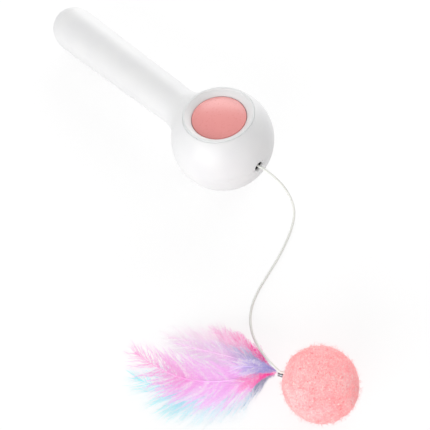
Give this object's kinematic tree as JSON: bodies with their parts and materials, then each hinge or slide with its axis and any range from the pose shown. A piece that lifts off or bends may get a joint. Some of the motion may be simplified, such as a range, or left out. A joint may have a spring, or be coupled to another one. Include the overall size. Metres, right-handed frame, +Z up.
{
  "type": "cat teaser wand",
  "caption": "Self-winding cat teaser wand with a thumb button brake, a cord, a felt ball and dyed feathers.",
  "frame": {"origin": "centre of the small rest flat under the round head, on the surface it lies on", "axes": "+Z up, -X along the grip, +X towards the cord's eyelet"},
  "size_m": [0.3127, 0.1557, 0.0519],
  "materials": {
    "white_plastic": "satin moulded",
    "pink_plastic": "soft gloss, moulded",
    "inner_plastic": "as moulded",
    "liner_plastic": "as moulded",
    "brake_rubber": "matt",
    "spring_steel": "bright drawn",
    "plated_steel": "zinc plated",
    "cord_yarn": "braided",
    "pink_felt": "needle-felted wool",
    "chrome": "polished",
    "down_aqua": "dyed marabou down",
    "down_hot_pink": "dyed marabou down",
    "down_blush": "dyed marabou down",
    "down_orchid": "dyed marabou down",
    "down_lilac": "dyed marabou down",
    "down_rose": "dyed marabou down",
    "down_sky": "dyed marabou down",
    "down_cyan": "dyed marabou down"
  },
  "bodies": {
    "root": {"upper_shell": "white_plastic", "lower_shell": "white_plastic", "bezel_ring": "white_plastic", "eyelet": "white_plastic", "eyelet_liner": "liner_plastic", "bridge_plate": "inner_plastic", "brake_pin": "spring_steel", "brake_spring": "spring_steel", "button_spring": "spring_steel", "power_spring": "spring_steel", "spool_axle": "plated_steel", "thrust_washer_1": "plated_steel", "thrust_washer_2": "plated_steel", "case_screw_1": "plated_steel", "case_screw_2": "plated_steel", "case_screw_3": "plated_steel", "case_screw_4": "plated_steel", "case_screw_5": "plated_steel", "case_screw_6": "plated_steel", "bridge_screw_1": "plated_steel", "bridge_screw_2": "plated_steel", "bridge_screw_3": "plated_steel", "lead_cord": "cord_yarn", "free_cord": "cord_yarn", "felt_ball": "pink_felt", "ferrule": "chrome", "feather_aqua": "down_aqua", "feather_hot_pink": "down_hot_pink", "feather_blush": "down_blush", "feather_orchid": "down_orchid", "feather_lilac": "down_lilac", "feather_rose": "down_rose", "feather_sky": "down_sky", "feather_cyan": "down_cyan"},
    "button": {"button_cap": "pink_plastic", "button_carrier": "inner_plastic"},
    "brake": {"brake_lever": "inner_plastic", "brake_pad": "brake_rubber"},
    "reel": {"spool": "inner_plastic", "spring_cover": "inner_plastic", "wound_cord": "cord_yarn"}
  },
  "joints": [
    {"name": "button_press", "type": "slide", "parent": "root", "child": "button", "axis": [0.0912, 0, -0.9958], "range_m": [0, 0.0025], "stiffness_N_per_m": 600, "springref_m": -0.003, "deforming": ["button_spring"]},
    {"name": "brake_swing", "type": "hinge", "parent": "root", "child": "brake", "pos_m": [-0.00078, 0.0093, 0.03685], "axis": [0, 1, 0], "range_deg": [0, 18], "deforming": ["brake_spring"]},
    {"name": "spool_spin", "type": "hinge", "parent": "root", "child": "reel", "pos_m": [0, 0, 0.02828], "axis": [-0.0912, 0, 0.9958], "range_deg": [-3000, 580], "deforming": ["power_spring"]}
  ],
  "couplings": [
    {"joint": "brake_swing", "follows": "button_press", "rad_per_m": 125}
  ]
}
